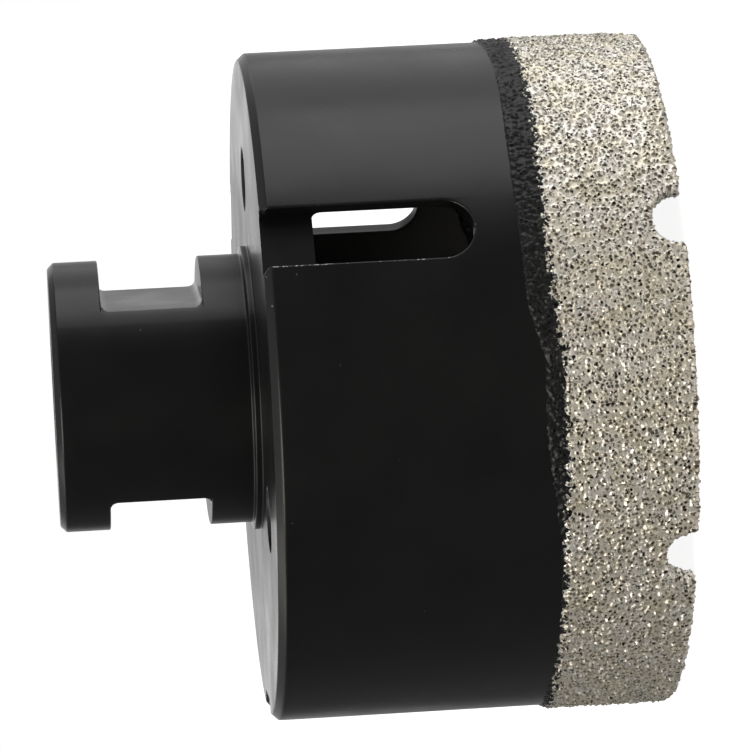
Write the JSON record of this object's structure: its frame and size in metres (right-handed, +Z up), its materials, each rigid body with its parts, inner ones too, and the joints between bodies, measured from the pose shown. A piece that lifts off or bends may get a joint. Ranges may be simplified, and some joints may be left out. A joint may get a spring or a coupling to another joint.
{
  "type": "diamond core bit",
  "caption": "Cup-shaped diamond core bit for an angle grinder: slotted steel barrel with a brazed grit mouth on a threaded hub with spanner flats.",
  "frame": {"origin": "centre of the cutting edge's circle, on the plane that the edge stands on", "axes": "+Z up the axis from the cutting edge to the hub's end, +X out of one of the hub's two spanner flats"},
  "size_m": [0.068, 0.068, 0.06],
  "materials": {
    "coated_steel": "semi-gloss black coating on turned steel",
    "diamond_braze": "rough nickel braze with diamond grit, champagne silver, overlaid with black coating along its upper edge"
  },
  "bodies": {
    "root": {"arbor": "coated_steel", "barrel": "coated_steel", "diamond_coat": "diamond_braze"}
  },
  "joints": []
}
